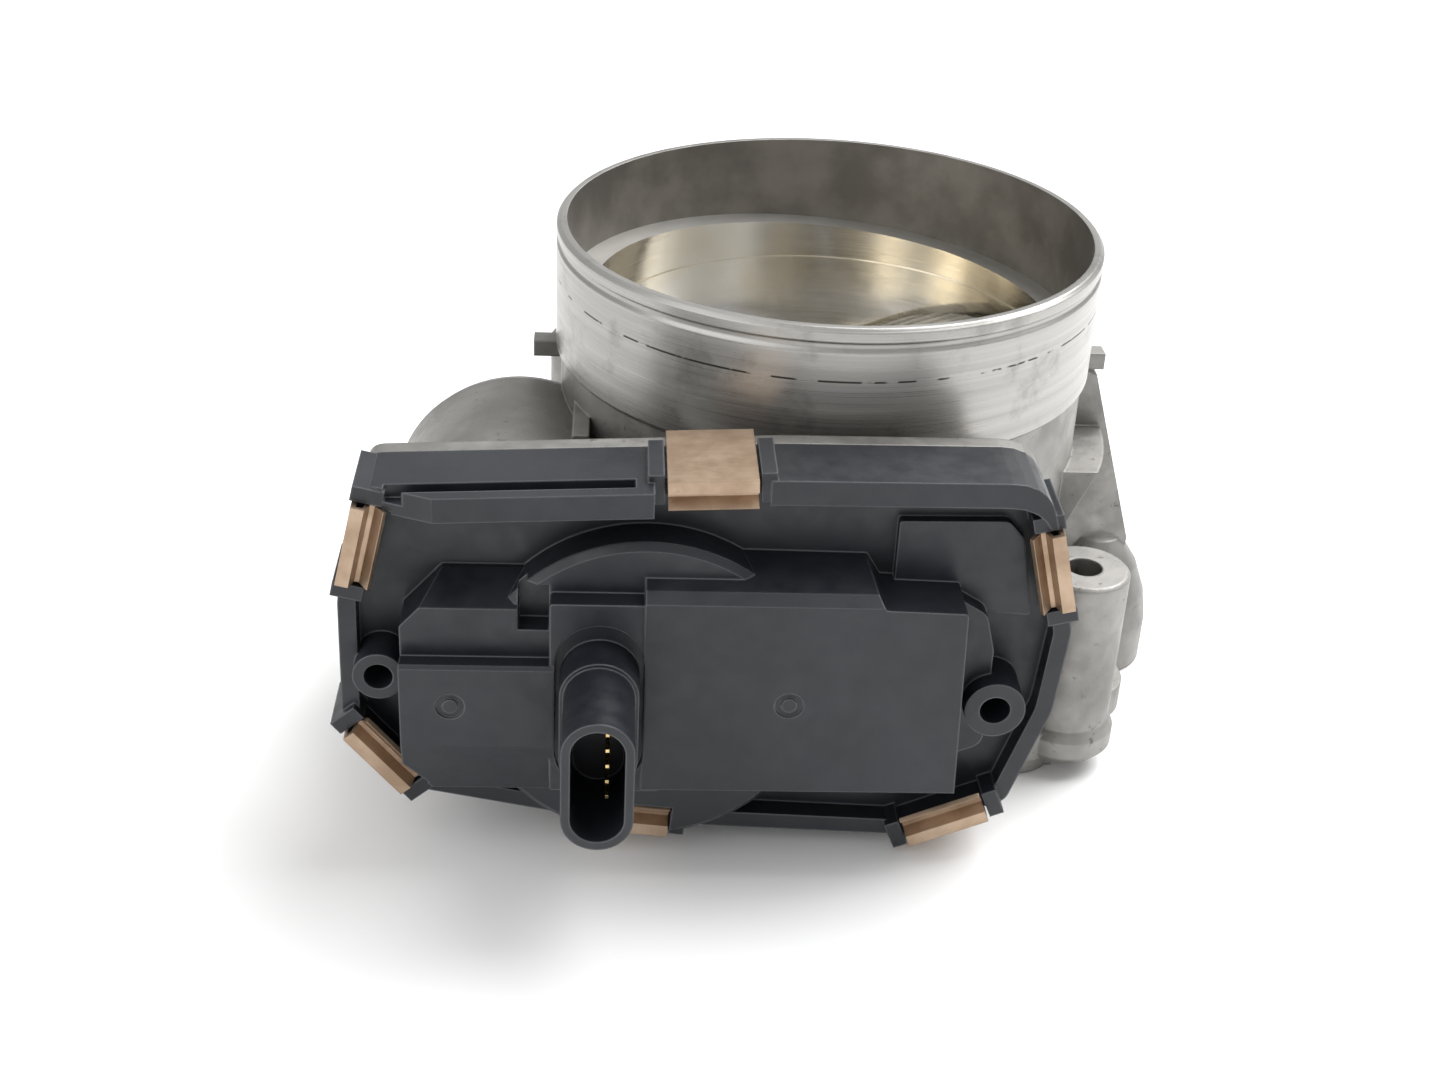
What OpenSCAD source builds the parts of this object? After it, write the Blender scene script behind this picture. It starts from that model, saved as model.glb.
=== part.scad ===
// Electronic throttle body: cast housing, throttle plate, gear train, motor and clipped-on cover.
// The bore axis is Z. The engine flange face is z = 0 and the inlet rim is the highest point.
// The throttle shaft, the gear pin and the motor all run along Y, and the cover faces -Y.

/* [Bore and inlet] */
// Height from the engine face to the inlet rim
total_h = 92; // [91:1:98]
// Radius of the bore that the plate closes
bore_r = 43.5; // [43:0.1:44]
// Outer radius of the machined inlet collar that the hose slides over
collar_r = 50.8; // [50.6:0.1:51]
// Height of the machined inlet collar
collar_h = 24; // [20:1:26]
// Inner radius of the inlet above the ledge
inlet_r = 48.9; // [48:0.1:49.2]
// Depth of the cast ledge below the rim
ledge_depth = 15.6; // [14:0.1:18]
// Sideways slope of the ledge in degrees
ledge_tilt = 3; // [0:0.5:4]

/* [Engine flange] */
// Bolt spacing across the shaft
bolt_dx = 91.5; // [91:0.5:92]
// Bolt spacing along the shaft
bolt_dy = 77; // [75:1:79]
// Radius of the bolt holes
bolt_hole_r = 3.3; // [3.2:0.1:3.5]
// Height of the bolt columns on the right
bolt_column_h = 41; // [38:1:44]
// Thickness of the flange plate
flange_t = 9; // [8:0.5:11]

/* [Throttle plate and shaft] */
// Height of the shaft above the engine face
shaft_z = 44; // [43.5:0.1:44.5]
// Radius of the throttle shaft
shaft_r = 5; // [4.5:0.1:5]
// Radial gap between the plate and the bore
plate_gap = 0.3; // [0.3:0.01:0.4]
// Thickness of the throttle plate
plate_t = 2; // [1.5:0.1:2.5]
// Angle of the unpowered plate above horizontal
rest_angle = 33; // [20:1:40]

/* [Gear train] */
// Module of the output gear pair
out_module = 0.9; // [0.9:0.1:0.9]
// Teeth of the throttle gear, counted round the full circle
throttle_teeth = 60; // [60:1:60]
// Teeth of the small intermediate gear
small_teeth = 18; // [18:1:18]
// Module of the motor gear pair
in_module = 0.8; // [0.8:0.1:0.8]
// Teeth of the large intermediate gear
large_teeth = 62; // [62:1:62]
// Teeth of the motor pinion
pinion_teeth = 12; // [12:1:12]
// Height of the motor and gear pin above the engine face
motor_z = 34; // [33.5:0.5:34.5]

/* [Motor] */
// Outer radius of the motor can
can_r = 13.8; // [13.4:0.1:13.9]
// Length of the motor can
can_l = 46; // [45:1:48]
// Outer radius of the cast motor barrel
barrel_r = 24; // [23:0.5:25]

/* [Cover] */
// Distance from the bore axis to the joint between housing and cover
joint_y = 58; // [57:0.5:59]
// Distance from the bore axis to the flat front of the cover
front_y = 78; // [77:0.5:79]
// Distance from the bore axis to the mouth of the connector
mouth_y = 99; // [96:0.5:101]
// Wall thickness of the moulded cover
wall = 2.5; // [2:0.1:2.7]
// Width of each spring clip
clip_w = 14.6; // [12:0.1:15]
// Thickness of the clip strip
clip_t = 0.8; // [0.6:0.1:1]

/* [Hidden] */
$fn = 96;
eps = 0.01;
cut = 1;

// Heights and radii of the bore
collar_z = total_h - collar_h;
ledge_z = total_h - ledge_depth;
body_r = collar_r - 1;
lead_in_z = ledge_z - 8;
lead_in_r = bore_r + 0.4;
plate_r = bore_r - plate_gap;

// Gear centres, seen from the front
out_distance = out_module * (throttle_teeth + small_teeth) / 2;
in_distance = in_module * (large_teeth + pinion_teeth) / 2;
drop = shaft_z - motor_z;
idler_x = -sqrt(out_distance ^ 2 - drop ^ 2);
motor_x = idler_x - in_distance;
mesh_angle = 180 + asin(drop / out_distance);
fit_gap = 0.04;
pin_r = 2.5;
motor_shaft_r = 1.6;
tab_angle = 120;
tab_reach = 17.2;

// Bolt pattern: the left columns stand higher because the motor passes beside them
bolt_x = 47 - bolt_dx / 2;
left_column_h = motor_z + can_r + 4;
head_r = 7.4;

// Layers of the gear case, as distances from the bore axis
floor_y = joint_y - 6;
case_back_y = joint_y - 12;
lip_back_y = joint_y - 3.2;
face_y = joint_y + 7.5;
rim_y = joint_y + 11.5;
bump_y = joint_y + 15;
left_shelf_y = joint_y + 17;
right_shelf_y = joint_y + 13.5;
step_y = front_y - 4;
inner_y = front_y - wall;
out_gear_back_y = joint_y - 2;
out_gear_t = 4.5;
in_gear_back_y = joint_y + 4;
in_gear_t = 4;
board_y = inner_y - 2.5;

// Rim inset of the gear case, the seal and the inner space
lip_inset = 4.4;
space_inset = 4.2;
seal_inset = 1.4;
seal_w = 1.5;
seal_d = 1.2;

// Corners of the gear case as [x, z, corner radius], anticlockwise from the top left
CASE = [[-79.6, 71.3, 3], [-84.4, 50, 12], [-84.6, 26.2, 3], [-73.2, 12.4, 3], [-48, 7.4, 12],
    [-24, 5, 12], [12.6, 3.4, 2.5], [30.6, 11.1, 3], [36.6, 30, 14], [37.9, 46, 8],
    [30.7, 74.8, 8], [-12, 74.5, 12]];
// Spring clips as [first corner of the edge that they sit on, fraction of the way along it]
CLIPS = [[11, 0.173], [0, 0.46], [2, 0.5], [4, 0.49], [6, 0.43], [9, 0.45]];
// Outline of the engine flange, with the front right corner cut diagonally
FLANGE = [[-54, -47, 10], [41, -47, 9], [61.5, -28, 9], [58, 47, 10], [-54, 47, 10]];

// Corners of the raised blocks on the cover
RIGHT_BLOCK = [[-34, 16.6], [19.6, 16.6], [18.4, 54.2], [5, 54.6], [2.6, 58.4], [-34, 58.8]];
LEFT_BLOCK = [[-74, 22], [-69, 15.3], [-46, 15.3], [-46, 55], [-67.4, 55], [-74, 47.7]];
PLATEAU = [[7.4, 50], [31, 48], [28.4, 62.5, 2], [25.5, 65.8, 2], [7.4, 65.5]];

// Cover guide sockets as [x, z, how far out they stand, boss radius, hole radius]
SOCKETS = [[-77.8, 37.3, joint_y + 15, 4.3, 2.4], [25.5, 33.3, joint_y + 16.5, 5.2, 2.6]];

// Connector
conn_x = -41.2;
conn_z = 34.1;
conn_w = 11.6;
conn_h = 24;
conn_wall = 1.5;
pin_x = conn_x + 1.5;
pin_count = 6;
pin_pitch = 3;

// ---------- helpers ----------

// Unit normal that points out of the edge from a to b of an anticlockwise outline
function edge_normal(a, b) = let (d = b - a) [d[1], -d[0]] / norm(d);
function flat_point(p) = [p[0], p[1]];
function radius_of(p, d) = len(p) > 2 ? max(p[2] - d, 0.6) : 0.6;
function corner(points, i) = flat_point(points[(i + len(points)) % len(points)]);

// One corner of the outline moved in by d
function moved_corner(points, i, d) =
    let (n1 = edge_normal(corner(points, i - 1), corner(points, i)),
         n2 = edge_normal(corner(points, i), corner(points, i + 1)))
    corner(points, i) - d * (n1 + n2) / (1 + n1 * n2);

// Points of a quadratic curve that rounds the corner p between its neighbours a and b
function round_corner(a, p, b, r) =
    let (u = (a - p) / norm(a - p), v = (b - p) / norm(b - p))
    let (reach = min(r / tan(acos(u * v) / 2), norm(a - p) * 0.45, norm(b - p) * 0.45))
    [for (t = [0 : 0.2 : 1])
        (1 - t) ^ 2 * (p + u * reach) + 2 * t * (1 - t) * p + t ^ 2 * (p + v * reach)];

// Rounded outline, moved in by d
function outline(points, d = 0) =
    let (n = len(points), q = [for (i = [0 : n - 1]) moved_corner(points, i, d)])
    [for (i = [0 : n - 1])
        each round_corner(q[(i + n - 1) % n], q[i], q[(i + 1) % n], radius_of(points[i], d))];

// Upright slab of a front view shape, between two distances from the bore axis
module slab(near, far) {
    translate([0, -near, 0])
        rotate([90, 0, 0])
            linear_extrude(far - near) children();
}

// Round bar along Y at [x, z], between two distances in front of the bore axis
module bar(x, z, r, near, far) {
    translate([x, -near, z])
        rotate([90, 0, 0])
            cylinder(r = r, h = far - near);
}

module tube(x, z, r_out, r_in, near, far) {
    difference() {
        bar(x, z, r_out, near, far);
        bar(x, z, r_in, near - cut, far + cut);
    }
}

module upright(x, y, r, low, high) {
    translate([x, y, low])
        cylinder(r = r, h = high - low);
}

module case_shape(d = 0) {
    polygon(outline(CASE, d));
}

// Moves a child from the flat plate's frame to the tilted rest position
module at_rest_tilt() {
    translate([0, 0, shaft_z])
        rotate([0, -rest_angle, 0]) children();
}

// ---------- gears ----------

pressure = 20;
function involute(a) = tan(a) * 180 / PI - a;
// Half the angle of a tooth at radius r
function half_tooth(teeth, mod, r) =
    let (pitch_r = mod * teeth / 2, base_r = pitch_r * cos(pressure))
    90 / teeth * 0.9 + involute(pressure) - involute(r > base_r ? acos(base_r / r) : 0);
function tooth_radii(teeth, mod) =
    let (pitch_r = mod * teeth / 2)
    [pitch_r - 1.2 * mod, pitch_r - 0.4 * mod, pitch_r + 0.25 * mod, pitch_r + 0.9 * mod];
function polar(r, a) = [r * cos(a), r * sin(a)];
// Outline points of one tooth centred on angle a
function tooth(teeth, mod, a) =
    let (radii = tooth_radii(teeth, mod))
    concat([for (k = [0 : 3]) polar(radii[k], a - half_tooth(teeth, mod, radii[k]))],
        [for (k = [3 : -1 : 0]) polar(radii[k], a + half_tooth(teeth, mod, radii[k]))]);

// Full gear with a tooth centred on angle start
module gear_shape(teeth, mod, start) {
    polygon([for (i = [0 : teeth - 1]) each tooth(teeth, mod, start + i * 360 / teeth)]);
}

// Slice of a gear: teeth from index first to last round angle start, closed at the centre
module gear_slice(teeth, mod, start, first, last) {
    polygon(concat([[0, 0]],
        [for (i = [first : last]) each tooth(teeth, mod, start + i * 360 / teeth)]));
}

// ---------- housing ----------

module inlet_collar() {
    lip_h = 2.4;
    neck_r = collar_r - 0.45;
    rotate_extrude()
        polygon([[0, collar_z - 4], [body_r, collar_z - 4], [body_r, collar_z - 1],
            [collar_r, collar_z], [collar_r, total_h - lip_h - 1.8],
            [neck_r, total_h - lip_h - 1.2], [neck_r, total_h - lip_h - 0.4],
            [collar_r, total_h - lip_h], [collar_r, total_h - 0.7], [collar_r - 0.7, total_h],
            [0, total_h]]);
}

// Flange plate whose lower edge is set in
module flange_plate() {
    step = 3.2;
    linear_extrude(step)
        polygon(outline(FLANGE, 1));
    translate([0, 0, step - eps])
        linear_extrude(flange_t - step + eps)
            polygon(outline(FLANGE));
}

module bolt_positions(sides) {
    for (sx = sides, sy = [-1, 1])
        translate([bolt_x + sx * bolt_dx / 2, sy * bolt_dy / 2, 0]) children();
}

// Round column with a bead at its foot
module bolt_column(h) {
    rotate_extrude()
        polygon([[0, 3], [8.2, 3], [9.6, 4.6], [9.6, 8], [8.9, 9.4], [8.5, 10], [8.5, h - 0.6],
            [7.9, h], [0, h]]);
}

module bolt_columns() {
    bolt_positions([1]) bolt_column(bolt_column_h);
    bolt_positions([-1]) bolt_column(left_column_h);
}

// Webs that tie each bolt column to the bore wall
module column_webs() {
    for (sx = [-1, 1], sy = [-1, 1])
        linear_extrude(bolt_column_h - 3)
            polygon([[sx * 30, sy * 30], [sx * 46, sy * 32], [sx * 45, sy * 43],
                [sx * 36, sy * 43]]);
}

// Case outline cut off at height top, so that the hose can slide down over the whole collar
module low_case_shape(d, top) {
    intersection() {
        case_shape(d);
        translate([-120, 0]) square([240, top]);
    }
}

module case_block() {
    slab(lip_back_y, joint_y) case_shape();
    slab(case_back_y, lip_back_y) low_case_shape(lip_inset, collar_z - 0.6);
}

module motor_barrel() {
    barrel_x = motor_x + 6;
    barrel_z = motor_z + 3;
    back = 5;
    bar(barrel_x, barrel_z, barrel_r, back, case_back_y + 2);
    translate([barrel_x, -back, barrel_z])
        rotate([-90, 0, 0])
            rotate_extrude()
                polygon([[0, 0], [barrel_r, 0], [barrel_r - 1, 3], [barrel_r - 4, 6],
                    [barrel_r - 9, 8], [0, 8.5]]);
}

module rear_bearing_boss() {
    bar(0, shaft_z, 13, -57, -(body_r - 4));
    slab(-54, -(body_r - 6))
        polygon([[-13, flange_t - 1], [13, flange_t - 1], [9, shaft_z], [-9, shaft_z]]);
}

// Web between barrel and collar, side gussets, hose-clamp pegs and lifting ear
module ribs_and_pegs() {
    peg_z = collar_z - 3.7;
    translate([-47, -46, 40])
        cube([3, 46, 22]);
    translate([0, 1.5, 0])
        rotate([90, 0, 0])
            linear_extrude(3)
                polygon([[46, 20], [64, 14], [65, 27], [54, collar_z - 5], [46, collar_z - 2]]);
    for (side = [-1, 1])
        translate([side * 51.5 - 3.5, -2, peg_z])
            cube([7, 4, 3.2]);
    translate([59.5, 1, 0])
        rotate_extrude()
            polygon([[0, 0], [12, 0], [12, 9], [11, 15], [8.7, 21], [4.6, 27], [0, 28.5]]);
}

// Flared shoulder on the right of the bore
module side_shoulder() {
    intersection() {
        translate([0, 0, 34])
            cylinder(r1 = body_r - 1, r2 = 56, h = 18);
        translate([30, -22, 30])
            cube([40, 24, 30]);
    }
}

module bore_space() {
    translate([0, 0, -cut])
        cylinder(r = bore_r, h = lead_in_z + cut);
    translate([0, 0, lead_in_z - eps])
        cylinder(r = lead_in_r, h = total_h);
    // The ledge slopes sideways, so a tilted block limits the wide inlet bore
    intersection() {
        translate([0, 0, ledge_z - 6])
            cylinder(r = inlet_r, h = total_h);
        translate([0, 0, ledge_z - 0.9])
            rotate([0, ledge_tilt, 0])
                translate([-80, -80, 0])
                    cube([160, 160, 60]);
    }
}

module case_space() {
    slab(lip_back_y + 0.8, joint_y + cut) case_shape(space_inset);
    slab(floor_y, joint_y) low_case_shape(lip_inset + 1.8, collar_z - 2.6);
}

module motor_space() {
    bar(motor_x, motor_z, can_r + 0.2, floor_y - can_l - 0.4, floor_y + cut);
}

module shaft_space() {
    bar(0, shaft_z, 5.4, -60, 60);
    bar(0, shaft_z, 8, 44, floor_y + cut);
    bar(0, shaft_z, 8, -54, -46);
    bar(0, shaft_z, 9, -58, -54.5);
}

module bolt_spaces() {
    bolt_positions([-1, 1])
        upright(0, 0, bolt_hole_r, -cut, total_h);
    bolt_positions([1])
        upright(0, 0, head_r, bolt_column_h, total_h + cut);
    bolt_positions([-1])
        upright(0, 0, head_r, left_column_h, total_h + cut);
}

// Both screw positions of the motor end plate
module at_motor_screws() {
    for (a = [tab_angle, tab_angle + 180])
        translate([motor_x + tab_reach * cos(a), 0, motor_z + tab_reach * sin(a)]) children();
}

module seal_ring_shape() {
    difference() {
        case_shape(seal_inset);
        case_shape(seal_inset + seal_w);
    }
}

module housing() {
    color("darkgray")
        difference() {
            union() {
                inlet_collar();
                upright(0, 0, body_r, 0, collar_z - 2);
                flange_plate();
                bolt_columns();
                column_webs();
                case_block();
                motor_barrel();
                rear_bearing_boss();
                ribs_and_pegs();
                side_shoulder();
            }
            bore_space();
            case_space();
            motor_space();
            shaft_space();
            bolt_spaces();
            bar(idler_x, motor_z, pin_r, floor_y - 4.5, floor_y + cut);
            at_motor_screws() bar(0, 0, 1.5, floor_y - 8, floor_y + cut);
            slab(joint_y - seal_d, joint_y + cut) seal_ring_shape();
            flange_groove();
        }
}

module flange_groove() {
    rotate_extrude()
        polygon([[46, -cut], [49, -cut], [49, 2], [46, 2]]);
}

// ---------- throttle plate and shaft ----------

screw_y = 20;

module throttle_plate() {
    color("lightgray")
        at_rest_tilt()
            difference() {
                translate([0, 0, -plate_t / 2])
                    cylinder(r = plate_r, h = plate_t);
                for (s = [-1, 1])
                    translate([0, s * screw_y, -plate_t])
                        cylinder(r = 2, h = 2 * plate_t);
            }
}

module throttle_shaft() {
    color("silver")
        at_rest_tilt()
            difference() {
                bar(0, 0, shaft_r, -53, out_gear_back_y + out_gear_t + 1);
                translate([-10, -plate_r, -plate_t / 2])
                    cube([20, 2 * plate_r, plate_t]);
                for (s = [-1, 1])
                    translate([0, s * screw_y, 0]) {
                        translate([0, 0, -10])
                            cylinder(r = 2, h = 20);
                        translate([0, 0, 4])
                            cylinder(r = 3.6, h = 4);
                    }
            }
}

module plate_screws() {
    color("dimgray")
        at_rest_tilt()
            for (s = [-1, 1])
                translate([0, s * screw_y, 0])
                    difference() {
                        union() {
                            translate([0, 0, -4.6])
                                cylinder(r = 2, h = 8.6 + eps);
                            translate([0, 0, 4])
                                cylinder(r1 = 3.5, r2 = 2.6, h = 2);
                        }
                        translate([0, 0, 4.8])
                            cylinder(r = 1.4, h = 4, $fn = 6);
                    }
}

module front_bearing() {
    color("gray")
        tube(0, shaft_z, 8, shaft_r + fit_gap, 44, floor_y);
}

module rear_bearing() {
    color("gray")
        tube(0, shaft_z, 8, shaft_r + fit_gap, -54, -46);
}

module shaft_seal() {
    color("black")
        tube(0, shaft_z, 8, shaft_r + fit_gap, floor_y, floor_y + 1.8);
}

module rear_plug() {
    color("silver")
        translate([0, 54.5, shaft_z])
            rotate([-90, 0, 0])
                rotate_extrude()
                    polygon([[0, 0.9], [5.5, 0.9], [7.5, 0], [9, 0], [9, 1], [7.9, 1],
                        [5.9, 1.9], [0, 1.9]]);
}

module throttle_gear() {
    // Teeth on each side of the meshing point that the travel needs
    above = 5;
    below = 9;
    color("ivory")
        difference() {
            union() {
                slab(out_gear_back_y, out_gear_back_y + out_gear_t)
                    translate([0, shaft_z])
                        gear_slice(throttle_teeth, out_module, mesh_angle, -below, above);
                bar(0, shaft_z, 9, out_gear_back_y - 1, out_gear_back_y + out_gear_t + 1);
            }
            bar(0, shaft_z, shaft_r, joint_y - 10, joint_y + 10);
            // Lightening window in the web
            slab(out_gear_back_y - 0.5 - cut, out_gear_back_y + 1.2)
                translate([0, shaft_z])
                    intersection() {
                        difference() {
                            circle(22);
                            circle(12);
                        }
                        polygon([[0, 0], polar(40, mesh_angle - 44), polar(40, mesh_angle),
                            polar(40, mesh_angle + 20)]);
                    }
        }
}

module sensor_magnet() {
    start = out_gear_back_y + out_gear_t + 1;
    color("darkslategray")
        difference() {
            bar(0, shaft_z, 5, start, start + 3.4);
            slab(start + 2.6, start + 6)
                translate([-0.6, shaft_z - 8])
                    square([1.2, 16]);
        }
}

// Round wire swept along a flat coil of two turns
module return_spring() {
    turns = 2;
    steps = 26;
    sides = 8;
    wire_r = 0.45;
    coil_r = 11.6;
    first_y = floor_y + wire_r + 0.05;
    lead = 1.1;
    rings = turns * steps;
    points = [for (i = [0 : rings], k = [0 : sides - 1])
        let (a = i * 360 / steps, b = k * 360 / sides, r = coil_r + wire_r * cos(b))
        [r * cos(a), -first_y - lead * i / steps - wire_r * sin(b), shaft_z + r * sin(a)]];
    walls = [for (i = [0 : rings - 1], k = [0 : sides - 1])
        [i * sides + k, i * sides + (k + 1) % sides,
            (i + 1) * sides + (k + 1) % sides, (i + 1) * sides + k]];
    ends = [[for (k = [sides - 1 : -1 : 0]) k], [for (k = [0 : sides - 1]) rings * sides + k]];
    color("silver")
        polyhedron(points, concat(walls, ends));
}

// ---------- intermediate gear ----------

module intermediate_gear() {
    back_angle = mesh_angle + 180;
    color("ivory")
        difference() {
            union() {
                slab(in_gear_back_y, in_gear_back_y + in_gear_t)
                    translate([idler_x, motor_z])
                        gear_shape(large_teeth, in_module, 180);
                slab(out_gear_back_y, in_gear_back_y)
                    translate([idler_x, motor_z])
                        gear_shape(small_teeth, out_module, back_angle + 180 / small_teeth);
            }
            bar(idler_x, motor_z, pin_r + fit_gap, joint_y - 10, joint_y + 12);
            slab(in_gear_back_y + 2.4, in_gear_back_y + 6)
                translate([idler_x, motor_z])
                    difference() {
                        circle(22);
                        circle(7);
                    }
        }
}

module gear_pin() {
    color("silver")
        bar(idler_x, motor_z, pin_r, floor_y - 4.5, in_gear_back_y + in_gear_t + 0.6);
}

// ---------- motor ----------

can_back_y = floor_y - can_l;

module motor_can() {
    color("silver")
        difference() {
            bar(motor_x, motor_z, can_r, can_back_y, floor_y);
            bar(motor_x, motor_z, can_r - 1.2, can_back_y + 1.5, floor_y + cut);
            bar(motor_x, motor_z, 4, can_back_y - cut, floor_y);
        }
}

module motor_magnets() {
    color("dimgray")
        for (s = [-1, 1])
            intersection() {
                tube(motor_x, motor_z, can_r - 1.2, 10.6, can_back_y + 6, floor_y - 12);
                slab(can_back_y, floor_y)
                    translate([motor_x, motor_z])
                        polygon([[0, 0], [30, s * 14], [30, s * 40], [-30, s * 40], [-30, s * 14]]);
            }
}

module motor_armature() {
    slots = 8;
    color("gray")
        difference() {
            bar(motor_x, motor_z, 10, can_back_y + 12, floor_y - 16);
            bar(motor_x, motor_z, motor_shaft_r, can_back_y, floor_y);
            slab(can_back_y, floor_y)
                translate([motor_x, motor_z])
                    for (i = [0 : slots - 1])
                        rotate(i * 360 / slots) {
                            translate([5, -1.2])
                                square([3.4, 2.4]);
                            translate([6, -0.5])
                                square([6, 1]);
                        }
        }
}

module motor_windings() {
    slots = 8;
    color("chocolate")
        difference() {
            union() {
                bar(motor_x, motor_z, 8.6, can_back_y + 8, can_back_y + 12);
                bar(motor_x, motor_z, 8.6, floor_y - 16, floor_y - 13);
                slab(can_back_y + 11, floor_y - 15)
                    translate([motor_x, motor_z])
                        for (i = [0 : slots - 1])
                            rotate(i * 360 / slots)
                                translate([5.2, -1])
                                    square([3, 2]);
            }
            bar(motor_x, motor_z, motor_shaft_r, can_back_y, floor_y);
        }
}

module commutator() {
    bars = 8;
    color("peru")
        difference() {
            bar(motor_x, motor_z, 4.5, floor_y - 12.8, floor_y - 5);
            bar(motor_x, motor_z, motor_shaft_r, can_back_y, floor_y);
            slab(floor_y - 11, floor_y)
                translate([motor_x, motor_z])
                    for (i = [0 : bars - 1])
                        rotate(i * 360 / bars)
                            translate([4.1, -0.2])
                                square([2, 0.4]);
        }
}

module motor_shaft() {
    color("silver")
        bar(motor_x, motor_z, motor_shaft_r, can_back_y + 0.6, in_gear_back_y + in_gear_t + 0.6);
}

module motor_bushes() {
    color("darkgoldenrod") {
        tube(motor_x, motor_z, 4, motor_shaft_r + fit_gap, can_back_y, can_back_y + 4);
        tube(motor_x, motor_z, 4, motor_shaft_r + fit_gap, floor_y - 2.5, floor_y + 2);
    }
}

module motor_end_plate() {
    color("dimgray")
        difference() {
            union() {
                bar(motor_x, motor_z, can_r + 0.4, floor_y, floor_y + 2);
                slab(floor_y, floor_y + 2)
                    translate([motor_x, motor_z])
                        rotate(tab_angle)
                            polygon(outline([[-20.4, -4, 3], [20.4, -4, 3], [20.4, 4, 3],
                                [-20.4, 4, 3]]));
                bar(motor_x, motor_z, can_r - 1.3, floor_y - 3, floor_y);
            }
            bar(motor_x, motor_z, 4, floor_y - 8, floor_y + 8);
            at_motor_screws() bar(0, 0, 1.5, floor_y - 8, floor_y + 8);
            for (s = [-1, 1])
                slab(floor_y - 8, floor_y + 8)
                    translate([motor_x - 10.3, motor_z + s * 5 - 1.5])
                        square([0.8, 3]);
        }
}

module motor_brushes() {
    color("black")
        for (s = [-1, 1])
            slab(floor_y - 9.5, floor_y - 3)
                translate([motor_x, motor_z])
                    rotate(s * 90)
                        translate([4.6, -1.5])
                            square([5, 3]);
}

module motor_pinion() {
    color("goldenrod")
        difference() {
            slab(in_gear_back_y - 0.3, in_gear_back_y + in_gear_t + 0.3)
                translate([motor_x, motor_z])
                    gear_shape(pinion_teeth, in_module, 180 / pinion_teeth);
            bar(motor_x, motor_z, motor_shaft_r, joint_y, joint_y + 12);
        }
}

module motor_screws() {
    color("silver")
        at_motor_screws()
            difference() {
                union() {
                    bar(0, 0, 1.5, floor_y - 7.5, floor_y + 2);
                    bar(0, 0, 2.8, floor_y + 2, floor_y + 3.8);
                }
                translate([0, -(floor_y + 2.8), 0])
                    rotate([90, 0, 0])
                        cylinder(r = 1.4, h = 3, $fn = 6);
            }
}

module motor_terminals() {
    color("goldenrod")
        for (s = [-1, 1])
            slab(floor_y - 4, floor_y + 9)
                translate([motor_x - 10.3, motor_z + s * 5 - 1.5])
                    square([0.8, 3]);
}

// ---------- cover ----------

// Block whose top slopes down to the front and whose front edges are bevelled.
// The profile is [distance in front of the bore axis, height].
module profiled_block(points, profile) {
    intersection() {
        slab(joint_y, front_y) polygon(outline(points));
        translate([-120, 0, 0])
            rotate([90, 0, 90])
                linear_extrude(200)
                    polygon([for (p = profile) [-p[0], p[1]]]);
    }
}

module right_block() {
    profiled_block(RIGHT_BLOCK, [[joint_y, 10], [joint_y, 59.6], [face_y, 58.8],
        [front_y - 2, 56.5], [front_y, 55], [front_y, 18.6], [face_y + 4, 14]]);
    slab(joint_y, front_y - 7)
        polygon(outline([[15, 20], [24.8, 24, 3], [24.8, 43, 3], [23, 50, 3], [17, 53.6]]));
}

module left_block() {
    profiled_block(LEFT_BLOCK, [[joint_y, 10], [joint_y, 57.6], [face_y, 55.6], [step_y, 51.3],
        [step_y, 42.2], [front_y - 0.6, 42.6], [front_y, 42], [front_y, 27], [step_y, 15.8],
        [face_y, 14]]);
}

// Block between the two, which carries the connector
module middle_block() {
    slab(face_y, front_y - 1)
        polygon(outline([[-49.4, 17.6], [-31, 17.6], [-31, 54.2], [-49.4, 54.2]]));
}

module gear_bump() {
    intersection() {
        union() {
            bar(idler_x, motor_z, 29.2, joint_y, bump_y - 1.2);
            translate([idler_x, -(bump_y - 1.2), motor_z])
                rotate([90, 0, 0])
                    cylinder(r1 = 29.2, r2 = 28, h = 1.2);
        }
        slab(joint_y - cut, bump_y + cut) case_shape();
    }
}

// Everything above the foot of the shelves between two x positions
module shelf_region(x0, x1) {
    translate([x0, -front_y - cut, 66.6])
        cube([x1 - x0, front_y, 30]);
}

// Band along the top of the case with a tray between x positions t0 and t1
module shelf(x0, x1, far, thick, t0, t1) {
    difference() {
        intersection() {
            slab(joint_y, far)
                difference() {
                    case_shape();
                    translate([0, -thick]) case_shape(-0.4);
                }
            shelf_region(x0, x1);
        }
        intersection() {
            slab(face_y - 1, far - 2.5)
                difference() {
                    case_shape(-1);
                    case_shape(2.4);
                }
            shelf_region(t0, t1);
        }
    }
}

module shelves() {
    difference() {
        shelf(-90, -33, left_shelf_y, 4.8, -76, -36);
        // Slanting left end
        translate([0, 0, 20])
            linear_extrude(80)
                polygon([[-90, -left_shelf_y - 1], [-66, -left_shelf_y - 1],
                    [-80, -left_shelf_y + 6], [-90, -left_shelf_y + 7]]);
    }
    shelf(-14.4, 45, right_shelf_y, 4.8, -12, 25);
}

module cover_rim() {
    slab(face_y - 1, rim_y)
        difference() {
            case_shape();
            case_shape(3);
        }
}

// Places a child on each clip's edge, with its own z axis pointing out of the rim
module at_clips() {
    for (c = CLIPS) {
        a = corner(CASE, c[0]);
        b = corner(CASE, c[0] + 1);
        n = edge_normal(a, b);
        p = a + (b - a) * c[1];
        translate([p[0], 0, p[1]])
            rotate([0, 90 - atan2(n[1], n[0]), 0]) children();
    }
}

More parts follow.
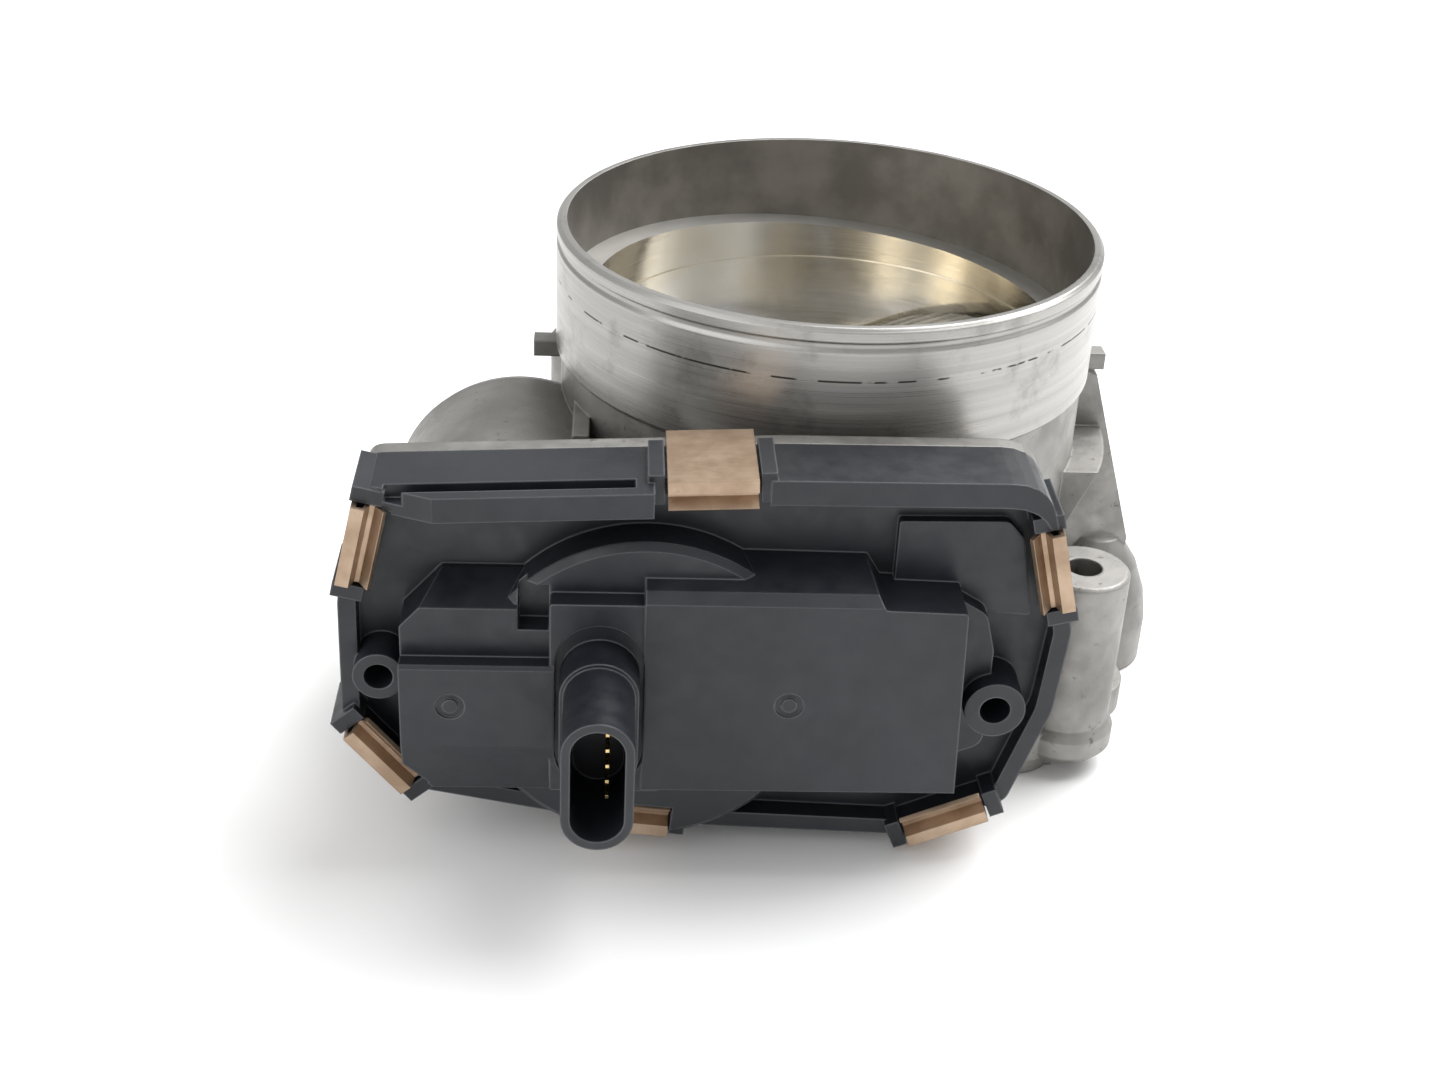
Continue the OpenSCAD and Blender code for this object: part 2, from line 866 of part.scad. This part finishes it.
// Lugs on both sides of each clip
module clip_lugs() {
    at_clips()
        for (s = [-1, 1])
            translate([s * (clip_w / 2 + 1.7) - 1.3, -rim_y - 1.6, -3.9])
                cube([2.6, rim_y + 1.3 - joint_y, 5.2]);
}

module guide_sockets() {
    for (s = SOCKETS)
        bar(s[0], s[1], s[3], face_y - 1, s[2]);
}

module stadium(w, h) {
    square([w, h - w], center = true);
    for (s = [-1, 1])
        translate([0, s * (h - w) / 2]) circle(d = w);
}

module connector_shell() {
    slab(step_y, mouth_y)
        translate([conn_x, conn_z]) stadium(conn_w, conn_h);
    slab(step_y, mouth_y - 16)
        translate([conn_x, conn_z]) stadium(conn_w + 1.4, conn_h + 1.4);
}

module cover_details_cut() {
    // Shallow arched pocket round the connector
    slab(front_y - 2.4, front_y + cut)
        translate([conn_x, conn_z])
            difference() {
                stadium(conn_w + 3.2, conn_h + 8.2);
                stadium(conn_w + 1.4, conn_h + 1.4);
            }
    // Socket of the connector
    slab(mouth_y - 17, mouth_y + cut)
        translate([conn_x, conn_z]) stadium(conn_w - 2 * conn_wall, conn_h - 2 * conn_wall);
    // Notch in the left block
    translate([-54.7, -front_y - cut, 47.5])
        cube([5.1, 9.4, 8]);
    // Round moulding marks
    for (p = [[-65.7, 34.9], [-9.8, 36]])
        tube(p[0], p[1], 2.4, 1.3, front_y - 0.5, front_y + cut);
    for (s = SOCKETS)
        bar(s[0], s[1], s[4], s[2] - 8, s[2] + cut);
}

// Space inside the cover for the gears, the board and the motor's front end
module cover_space() {
    slab(joint_y - cut, face_y - wall) case_shape(space_inset);
    bar(idler_x, motor_z, 26.2, joint_y - cut, rim_y - wall);
    bar(idler_x, motor_z, 20, joint_y - cut, bump_y - 1.5);
    slab(joint_y - cut, inner_y)
        polygon(outline([[-31, 19.6], [16.4, 19.6], [16, 51.6], [-31, 53.4]]));
    slab(joint_y - cut, step_y - wall)
        polygon(outline([[-71.4, 26], [-67, 18.6], [-50, 18.6], [-50, 45], [-57, 45],
            [-57, 50], [-67, 50], [-71.4, 46]]));
}

module gear_cover() {
    color([0.13, 0.13, 0.15])
        difference() {
            union() {
                difference() {
                    union() {
                        slab(joint_y, face_y) case_shape();
                        slab(joint_y, face_y + 2) polygon(outline(PLATEAU));
                        cover_rim();
                        shelves();
                        gear_bump();
                        right_block();
                        left_block();
                        middle_block();
                        clip_lugs();
                    }
                    cover_space();
                }
                guide_sockets();
                connector_shell();
            }
            cover_details_cut();
            clip_channels();
        }
}

// Room for the front legs of the clips
module clip_channels() {
    at_clips()
        translate([-clip_w / 2 - 0.2, -rim_y - 12, -5.6])
            cube([clip_w + 0.4, 12.15, 20]);
}

module cover_seal() {
    color("darkgreen")
        slab(joint_y - seal_d, joint_y) seal_ring_shape();
}

// Clip strip from the side, as [distance in front of the bore axis, height over the rim]
module clip_profile() {
    back = lip_back_y - 0.05;
    front = rim_y + 0.05;
    t = clip_t;
    polygon([[back - t, -3.6], [back, -3.6], [back, 0.05], [front + 2.4, 0.05],
        [front + 2.4, -1], [front, -1.6], [front, -3.2], [front + 2, -4.9],
        [front + 2.7, -4.4], [front + t, -2.9], [front + t, -2.1], [front + 3.2, -1.4],
        [front + 3.2, 0.05 + t], [back - t, 0.05 + t]]);
}

module cover_clips() {
    color("peru")
        at_clips()
            translate([-clip_w / 2, 0, 0])
                rotate([90, 0, 90])
                    linear_extrude(clip_w)
                        mirror([1, 0]) clip_profile();
}

module connector_pins() {
    color("goldenrod")
        for (i = [0 : pin_count - 1])
            slab(board_y, mouth_y - 8)
                translate([pin_x, conn_z + (i - (pin_count - 1) / 2) * pin_pitch])
                    square(0.64, center = true);
}

module sensor_board() {
    color("darkgreen")
        slab(board_y - 1.2, board_y)
            polygon(outline([[-30.5, 23], [15.4, 23, 2], [15.4, 50.6, 2], [-30.5, 50.6]]));
}

module sensor_chip() {
    color("black")
        slab(board_y - 2.4, board_y - 1.2)
            translate([-3, shaft_z - 3])
                square([6, 6]);
}

module flange_seal() {
    color("darkorange")
        rotate_extrude()
            polygon([[46, 0.6], [46.5, 0.1], [48.5, 0.1], [49, 0.6], [49, 2], [46, 2]]);
}

housing();
throttle_plate();
throttle_shaft();
plate_screws();
front_bearing();
rear_bearing();
shaft_seal();
rear_plug();
throttle_gear();
return_spring();
sensor_magnet();
intermediate_gear();
gear_pin();
motor_can();
motor_magnets();
motor_armature();
motor_windings();
commutator();
motor_shaft();
motor_bushes();
motor_end_plate();
motor_brushes();
motor_pinion();
motor_screws();
motor_terminals();
gear_cover();
cover_seal();
cover_clips();
connector_pins();
sensor_board();
sensor_chip();
flange_seal();
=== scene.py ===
"""Looks of the throttle body: materials on every CAD node, edges, camera, light and floor."""

import math

import bpy
from mathutils import Matrix, Vector


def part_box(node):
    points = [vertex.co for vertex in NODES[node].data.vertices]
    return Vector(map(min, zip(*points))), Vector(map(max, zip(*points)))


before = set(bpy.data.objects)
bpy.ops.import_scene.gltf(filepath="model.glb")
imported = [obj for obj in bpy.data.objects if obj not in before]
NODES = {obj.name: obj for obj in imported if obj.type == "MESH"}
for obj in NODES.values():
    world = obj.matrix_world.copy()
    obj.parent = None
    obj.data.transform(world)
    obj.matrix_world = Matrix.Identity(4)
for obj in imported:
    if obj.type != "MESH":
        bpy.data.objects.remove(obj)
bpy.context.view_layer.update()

MM = 0.001

# Heights and radii that tell one surface finish of the housing from another
RIM_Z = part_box("housing")[1].z
RIM_FACE_Z = RIM_Z - 1 * MM
COLLAR_BOTTOM_Z = RIM_Z - 24.1 * MM
# Height of the dark line painted round the collar as shade in the groove below the lip
COLLAR_GROOVE_SHADE_Z = RIM_Z - 9.5 * MM
LEDGE_Z = RIM_Z - 20 * MM
LEDGE_R = 45 * MM
INLET_R = 49.2 * MM
COLLAR_R = 50 * MM
BEYOND_COLLAR_R = 52 * MM

# Z part of a face normal: a face below the first looks down, one under the second stands upright
LOOKS_DOWN = -0.9
UPRIGHT = 0.5

# Finishes of the housing, in the order of its material slots
CAST, TURNED, BORE, WALL, LEDGE = range(5)

# The camera: 36 mm sensor, place in metres, turns in degrees
SENSOR_WIDTH = 36.0
LENS = 49.83
CAMERA_PLACE = (-0.0405, -0.353, 0.2204)
CAMERA_YAW = -3.8
CAMERA_DOWN = 29.12
CAMERA_ROLL = 2.94

# Lamps as name, place, width in metres and power in watts, all aimed at the middle of the part
LAMP_AIM = (0, 0, 0.04)
LAMPS = [
    ("key", (0.5, 0.3, 0.9), 0.9, 18),
    ("fill", (-0.8, -0.6, 0.7), 1.2, 6),
]
SKY_STRENGTH = 0.66
FLOOR_HALF_SIZE = 6.0
FLOOR_DROP = 0.2 * MM


class Graph:
    """The shader nodes of one material, built one small expression at a time."""

    def __init__(self, name):
        self.material = bpy.data.materials.new(name)
        self.material.use_nodes = True
        self.tree = self.material.node_tree
        self.shader = self.tree.nodes["Principled BSDF"]
        self.place = self.add("ShaderNodeTexCoord").outputs["Object"]

    def add(self, kind, **settings):
        node = self.tree.nodes.new(kind)
        for key, value in settings.items():
            setattr(node, key, value)
        return node

    def feed(self, socket, value):
        """Links a socket to value, or sets it if value is a plain number or colour."""
        if isinstance(value, bpy.types.NodeSocket):
            self.tree.links.new(value, socket)
        else:
            socket.default_value = value

    def math(self, operation, *values):
        node = self.add("ShaderNodeMath", operation=operation)
        for socket, value in zip(node.inputs, values):
            self.feed(socket, value)
        return node.outputs[0]

    def scaled(self, x, y, z):
        """The place in metres, multiplied along each axis."""
        node = self.add("ShaderNodeMapping")
        self.feed(node.inputs["Vector"], self.place)
        node.inputs["Scale"].default_value = (x, y, z)
        return node.outputs[0]

    def noise(self, scale, detail=3.0, roughness=0.55, at=None):
        """Cloudy value between 0 and 1, mostly near the middle."""
        node = self.add("ShaderNodeTexNoise")
        self.feed(node.inputs["Vector"], at or self.place)
        node.inputs["Scale"].default_value = scale
        node.inputs["Detail"].default_value = detail
        node.inputs["Roughness"].default_value = roughness
        return node.outputs["Fac"]

    def fade(self, value, low, high, to_low=0.0, to_high=1.0):
        """Smooth step of value from low to high."""
        node = self.add("ShaderNodeMapRange", interpolation_type="SMOOTHSTEP")
        for socket, number in zip(node.inputs, (value, low, high, to_low, to_high)):
            self.feed(socket, number)
        return node.outputs[0]

    def mix(self, factor, a, b):
        """Colour a where factor is 0, b where it is 1."""
        node = self.add("ShaderNodeMix", data_type="RGBA")
        self.feed(node.inputs["Factor"], factor)
        for key, colour in (("A", a), ("B", b)):
            socket = [s for s in node.inputs if s.name == key and s.type == "RGBA"][0]
            self.feed(socket, colour)
        return [s for s in node.outputs if s.type == "RGBA"][0]

    def bump(self, height, strength, distance, under=None):
        """Normal of a surface that stands up by height, on top of the normal under."""
        node = self.add("ShaderNodeBump")
        node.inputs["Strength"].default_value = strength
        node.inputs["Distance"].default_value = distance
        self.feed(node.inputs["Height"], height)
        if under is not None:
            self.feed(node.inputs["Normal"], under)
        return node.outputs["Normal"]

    def soft_edges(self, radius):
        """Normal that rounds the sharp edges of the mesh by radius."""
        node = self.add("ShaderNodeBevel", samples=6)
        node.inputs["Radius"].default_value = radius
        return node.outputs["Normal"]

    # Mask of the sharp edges, used for the painted edge highlight on the cover
    def edge_highlight_mask(self, radius):
        """1 on the mesh's sharp edges, 0 on its flat faces."""
        flat = self.add("ShaderNodeNewGeometry").outputs["True Normal"]
        node = self.add("ShaderNodeVectorMath", operation="DOT_PRODUCT")
        self.feed(node.inputs[0], flat)
        self.feed(node.inputs[1], self.soft_edges(radius))
        return self.fade(node.outputs["Value"], 0.86, 0.995, 1.0, 0.0)

    def rings(self, scale, distortion, centre):
        """Round tool marks about an upright axis through centre."""
        place = self.add("ShaderNodeMapping")
        self.feed(place.inputs["Vector"], self.place)
        place.inputs["Location"].default_value = -Vector(centre)
        node = self.add("ShaderNodeTexWave", wave_type="RINGS", rings_direction="Z")
        self.feed(node.inputs["Vector"], place.outputs[0])
        node.inputs["Scale"].default_value = scale
        node.inputs["Distortion"].default_value = distortion
        node.inputs["Detail"].default_value = 3.0
        return node.outputs["Fac"]

    def height(self):
        """Height above the engine face in metres."""
        node = self.add("ShaderNodeSeparateXYZ")
        self.feed(node.inputs[0], self.place)
        return node.outputs["Z"]

    def line_at(self, z, half_width):
        """1 on a thin level line at height z, 0 away from it."""
        distance = self.math("ABSOLUTE", self.math("SUBTRACT", self.height(), z))
        return self.fade(distance, half_width, 2 * half_width, 1.0, 0.0)

    def finish(self, **sockets):
        """Sets the shader's own sockets, named with underscores, and returns the material."""
        for key, value in sockets.items():
            self.feed(self.shader.inputs[key.replace("_", " ")], value)
        return self.material


def rgb(r, g, b):
    return (r, g, b, 1.0)


# ---------- materials ----------


def plain_metal(name, light, dark, roughness):
    """Bare metal, slightly blotched between two colours."""
    g = Graph(name)
    blotch = g.fade(g.noise(180), 0.35, 0.65)
    fine = g.noise(2500, 2)
    return g.finish(
        Base_Color=g.mix(blotch, dark, light),
        Metallic=1.0,
        Roughness=g.fade(g.noise(600), 0.3, 0.7, roughness - 0.05, roughness + 0.08),
        Normal=g.bump(fine, 0.15, 0.02 * MM, under=g.soft_edges(0.15 * MM)),
    )


def plain_plastic(name, light, dark, roughness):
    """Plastic, rubber or carbon with a fine grain."""
    g = Graph(name)
    cloud = g.fade(g.noise(120), 0.3, 0.7)
    return g.finish(
        Base_Color=g.mix(cloud, dark, light),
        Roughness=g.fade(g.noise(900), 0.3, 0.7, roughness - 0.05, roughness + 0.06),
        Normal=g.bump(g.noise(3500, 2), 0.2, 0.03 * MM, under=g.soft_edges(0.2 * MM)),
    )


def cast_aluminium():
    """Grey sand-textured casting with dark pits."""
    g = Graph("cast_aluminium")
    grain = g.noise(1400, 4, 0.65)
    cloud = g.fade(g.noise(60, 4), 0.35, 0.7)
    pits = g.fade(g.noise(420, 5, 0.7), 0.6, 0.74)
    return g.finish(
        Base_Color=g.mix(pits, g.mix(cloud, rgb(0.235, 0.228, 0.215), rgb(0.33, 0.32, 0.303)),
                         rgb(0.14, 0.13, 0.12)),
        Metallic=0.8,
        Roughness=g.fade(g.noise(300), 0.3, 0.7, 0.42, 0.58),
        Normal=g.bump(grain, 0.35, 0.12 * MM, under=g.soft_edges(0.6 * MM)),
    )


def inlet_wall():
    """Dark cast wall above the ledge."""
    g = Graph("inlet_wall")
    grain = g.noise(1100, 4, 0.7)
    cloud = g.fade(g.noise(70, 4), 0.35, 0.7)
    return g.finish(
        Base_Color=g.mix(cloud, rgb(0.15, 0.14, 0.125), rgb(0.24, 0.225, 0.2)),
        Metallic=0.7,
        Roughness=0.5,
        Normal=g.bump(grain, 0.5, 0.12 * MM),
    )


def turned_aluminium():
    """Collar with fine turned lines, stains and a broken dark line of painted shade round it, at
    the groove below the lip.
    """
    g = Graph("turned_aluminium")
    rings = g.noise(1.0, 3, 0.6, at=g.scaled(12, 12, 9000))
    bands = g.noise(1.0, 2, 0.5, at=g.scaled(8, 8, 700))
    stains = g.fade(g.noise(90, 5, 0.65), 0.5, 0.7)
    dashes = g.fade(g.noise(260, 2), 0.42, 0.5)
    # Painted shade: a dark, broken line round the collar at the groove below the lip
    line = g.line_at(COLLAR_GROOVE_SHADE_Z, half_width=0.12 * MM)
    metal = g.mix(bands, rgb(0.30, 0.293, 0.278), rgb(0.46, 0.45, 0.43))
    worn = g.mix(g.math("MULTIPLY", stains, 0.6), metal, rgb(0.2, 0.193, 0.178))
    return g.finish(
        Base_Color=g.mix(g.math("MULTIPLY", line, dashes), worn, rgb(0.05, 0.05, 0.045)),
        Metallic=0.9,
        Roughness=g.fade(rings, 0.3, 0.7, 0.26, 0.42),
        Normal=g.bump(rings, 0.25, 0.03 * MM, under=g.soft_edges(0.4 * MM)),
    )


def polished_bore():
    """Bright bore with golden patches painted in as warm reflections."""
    g = Graph("polished_bore")
    rings = g.noise(1.0, 3, 0.6, at=g.scaled(10, 10, 5000))
    return g.finish(
        # Painted reflection: the golden patches in the colour stand for warm reflections in the
        # polished bore
        Base_Color=g.mix(g.fade(g.noise(35, 3), 0.35, 0.7), rgb(0.68, 0.63, 0.53),
                         rgb(0.82, 0.81, 0.78)),
        Metallic=1.0,
        Roughness=g.fade(rings, 0.3, 0.7, 0.12, 0.24),
        Normal=g.bump(rings, 0.08, 0.02 * MM),
    )


def rough_ledge():
    """Light rough ring round the bore."""
    g = Graph("rough_ledge")
    grain = g.noise(1500, 4, 0.7)
    return g.finish(
        Base_Color=g.mix(g.noise(150), rgb(0.36, 0.35, 0.33), rgb(0.50, 0.49, 0.465)),
        Metallic=0.85,
        Roughness=0.5,
        Normal=g.bump(grain, 0.35, 0.1 * MM),
    )


def cover_plastic():
    """Dark slate plastic, dusty, with painted highlights that lighten its sharp edges."""
    g = Graph("cover_plastic")
    cloud = g.fade(g.noise(45, 4), 0.35, 0.7)
    dust = g.fade(g.noise(700, 5, 0.75), 0.66, 0.8)
    grain = g.noise(2600, 3, 0.6)
    slate = g.mix(cloud, rgb(0.008, 0.0095, 0.0135), rgb(0.014, 0.016, 0.021))
    # Painted highlight: the sharp edges get a lighter colour
    with_painted_edge_highlight = g.mix(g.edge_highlight_mask(0.5 * MM), slate, rgb(0.11, 0.115, 0.125))
    return g.finish(
        Base_Color=g.mix(g.math("MULTIPLY", dust, 0.5), with_painted_edge_highlight, rgb(0.06, 0.057, 0.052)),
        Roughness=g.fade(g.noise(250, 4), 0.3, 0.7, 0.34, 0.48),
        Specular_IOR_Level=0.5,
        Normal=g.bump(grain, 0.25, 0.05 * MM, under=g.soft_edges(0.5 * MM)),
    )


def bronze_strip():
    """Brushed spring bronze with dark spots."""
    g = Graph("bronze_strip")
    brushed = g.noise(1.0, 3, 0.6, at=g.scaled(500, 6000, 500))
    tint = g.fade(g.noise(160, 4), 0.3, 0.7)
    spots = g.fade(g.noise(500, 4, 0.7), 0.66, 0.78)
    strip = g.mix(tint, rgb(0.34, 0.24, 0.165), rgb(0.46, 0.345, 0.25))
    return g.finish(
        Base_Color=g.mix(g.math("MULTIPLY", spots, 0.6), strip, rgb(0.2, 0.13, 0.08)),
        Metallic=0.85,
        Roughness=g.fade(brushed, 0.3, 0.7, 0.34, 0.5),
        Normal=g.bump(brushed, 0.2, 0.03 * MM, under=g.soft_edges(0.2 * MM)),
    )


def swirled_plate():
    """Face-turned sheet with the arcs of a large cutter."""
    g = Graph("swirled_plate")
    arcs = g.rings(170, 1.0, centre=(-0.03, -0.055, 0.0))
    return g.finish(
        Base_Color=g.mix(arcs, rgb(0.63, 0.615, 0.58), rgb(0.68, 0.665, 0.63)),
        Metallic=1.0,
        Roughness=g.fade(arcs, 0.2, 0.8, 0.22, 0.32),
        Normal=g.bump(arcs, 0.06, 0.02 * MM, under=g.soft_edges(0.2 * MM)),
    )


def floor_white():
    g = Graph("floor_white")
    return g.finish(
        Base_Color=g.mix(g.noise(3), rgb(0.88, 0.88, 0.88), rgb(0.91, 0.91, 0.91)),
        Roughness=0.7,
    )


# ---------- materials on the CAD nodes ----------


def paint(node, material):
    mesh = NODES[node].data
    mesh.materials.clear()
    mesh.materials.append(material)


def housing_finish(centre, normal):
    """Slot of the housing's finish at a face."""
    r = math.hypot(centre.x, centre.y)
    on_collar = COLLAR_R < r < BEYOND_COLLAR_R and centre.z > COLLAR_BOTTOM_Z
    if centre.z > RIM_FACE_Z or on_collar and normal.z > LOOKS_DOWN:
        return TURNED
    if r < LEDGE_R:
        return BORE
    if r < INLET_R and centre.z > LEDGE_Z:
        return WALL if abs(normal.z) < UPRIGHT else LEDGE
    return CAST


def paint_housing():
    mesh = NODES["housing"].data
    mesh.materials.clear()
    for make in (cast_aluminium, turned_aluminium, polished_bore, inlet_wall, rough_ledge):
        mesh.materials.append(make())
    for face in mesh.polygons:
        face.material_index = housing_finish(face.center, face.normal)


steel = plain_metal("steel", rgb(0.62, 0.62, 0.63), rgb(0.5, 0.5, 0.51), 0.25)
dark_steel = plain_metal("dark_steel", rgb(0.2, 0.2, 0.21), rgb(0.13, 0.13, 0.14), 0.4)
brass = plain_metal("brass", rgb(0.78, 0.6, 0.3), rgb(0.65, 0.48, 0.22), 0.25)
copper = plain_metal("copper", rgb(0.72, 0.33, 0.16), rgb(0.5, 0.2, 0.09), 0.3)
nylon = plain_plastic("gear_nylon", rgb(0.82, 0.79, 0.68), rgb(0.74, 0.7, 0.58), 0.4)
black_plastic = plain_plastic("black_plastic", rgb(0.03, 0.03, 0.03), rgb(0.02, 0.02, 0.02), 0.45)
board = plain_plastic("board", rgb(0.03, 0.16, 0.07), rgb(0.02, 0.11, 0.05), 0.35)
rubber = plain_plastic("rubber", rgb(0.02, 0.02, 0.02), rgb(0.012, 0.012, 0.012), 0.7)
seal_orange = plain_plastic("seal_orange", rgb(0.7, 0.22, 0.05), rgb(0.55, 0.16, 0.03), 0.5)
carbon = plain_plastic("carbon", rgb(0.04, 0.04, 0.045), rgb(0.025, 0.025, 0.028), 0.6)
bronze = bronze_strip()

FINISHES = {
    "throttle_plate": swirled_plate(),
    "throttle_shaft": steel,
    "plate_screws": dark_steel,
    "front_bearing": steel,
    "rear_bearing": steel,
    "shaft_seal": rubber,
    "rear_plug": steel,
    "throttle_gear": nylon,
    "return_spring": steel,
    "sensor_magnet": carbon,
    "intermediate_gear": nylon,
    "gear_pin": steel,
    "motor_can": steel,
    "motor_magnets": carbon,
    "motor_armature": dark_steel,
    "motor_windings": copper,
    "commutator": copper,
    "motor_shaft": steel,
    "motor_bushes": bronze,
    "motor_end_plate": black_plastic,
    "motor_brushes": carbon,
    "motor_pinion": brass,
    "motor_screws": steel,
    "motor_terminals": brass,
    "gear_cover": cover_plastic(),
    "cover_seal": rubber,
    "cover_clips": bronze,
    "connector_pins": brass,
    "sensor_board": board,
    "sensor_chip": black_plastic,
    "flange_seal": seal_orange,
}

paint_housing()
for name, material in FINISHES.items():
    paint(name, material)


# ---------- stage, light and camera ----------


def make_floor():
    corners = [(-1, -1), (1, -1), (1, 1), (-1, 1)]
    points = [(x * FLOOR_HALF_SIZE, y * FLOOR_HALF_SIZE, 0) for x, y in corners]
    mesh = bpy.data.meshes.new("floor")
    mesh.from_pydata(points, [], [range(len(points))])
    mesh.materials.append(floor_white())
    floor = bpy.data.objects.new("floor", mesh)
    floor.location.z = -FLOOR_DROP
    bpy.context.scene.collection.objects.link(floor)


def make_lamp(name, place, width, power):
    """Square area lamp that points at the part."""
    light = bpy.data.lights.new(name, "AREA")
    light.shape = "RECTANGLE"
    light.size = width
    light.size_y = width
    light.energy = power
    lamp = bpy.data.objects.new(name, light)
    lamp.location = place
    direction = Vector(LAMP_AIM) - Vector(place)
    lamp.rotation_euler = direction.to_track_quat("-Z", "Y").to_euler()
    bpy.context.scene.collection.objects.link(lamp)


def make_sky():
    world = bpy.data.worlds.new("studio")
    world.use_nodes = True
    background = world.node_tree.nodes["Background"]
    background.inputs["Color"].default_value = rgb(1, 1, 1)
    background.inputs["Strength"].default_value = SKY_STRENGTH
    bpy.context.scene.world = world


def make_camera():
    data = bpy.data.cameras.new("camera")
    data.sensor_width = SENSOR_WIDTH
    data.lens = LENS
    camera = bpy.data.objects.new("camera", data)
    place = Matrix.Translation(CAMERA_PLACE)
    yaw = Matrix.Rotation(math.radians(CAMERA_YAW), 4, "Z")
    pitch = Matrix.Rotation(math.radians(90 - CAMERA_DOWN), 4, "X")
    roll = Matrix.Rotation(math.radians(CAMERA_ROLL), 4, "Z")
    camera.matrix_world = place @ yaw @ pitch @ roll
    bpy.context.scene.collection.objects.link(camera)
    bpy.context.scene.camera = camera


make_floor()
for lamp in LAMPS:
    make_lamp(*lamp)
make_sky()
make_camera()
bpy.context.scene.view_settings.view_transform = "Standard"
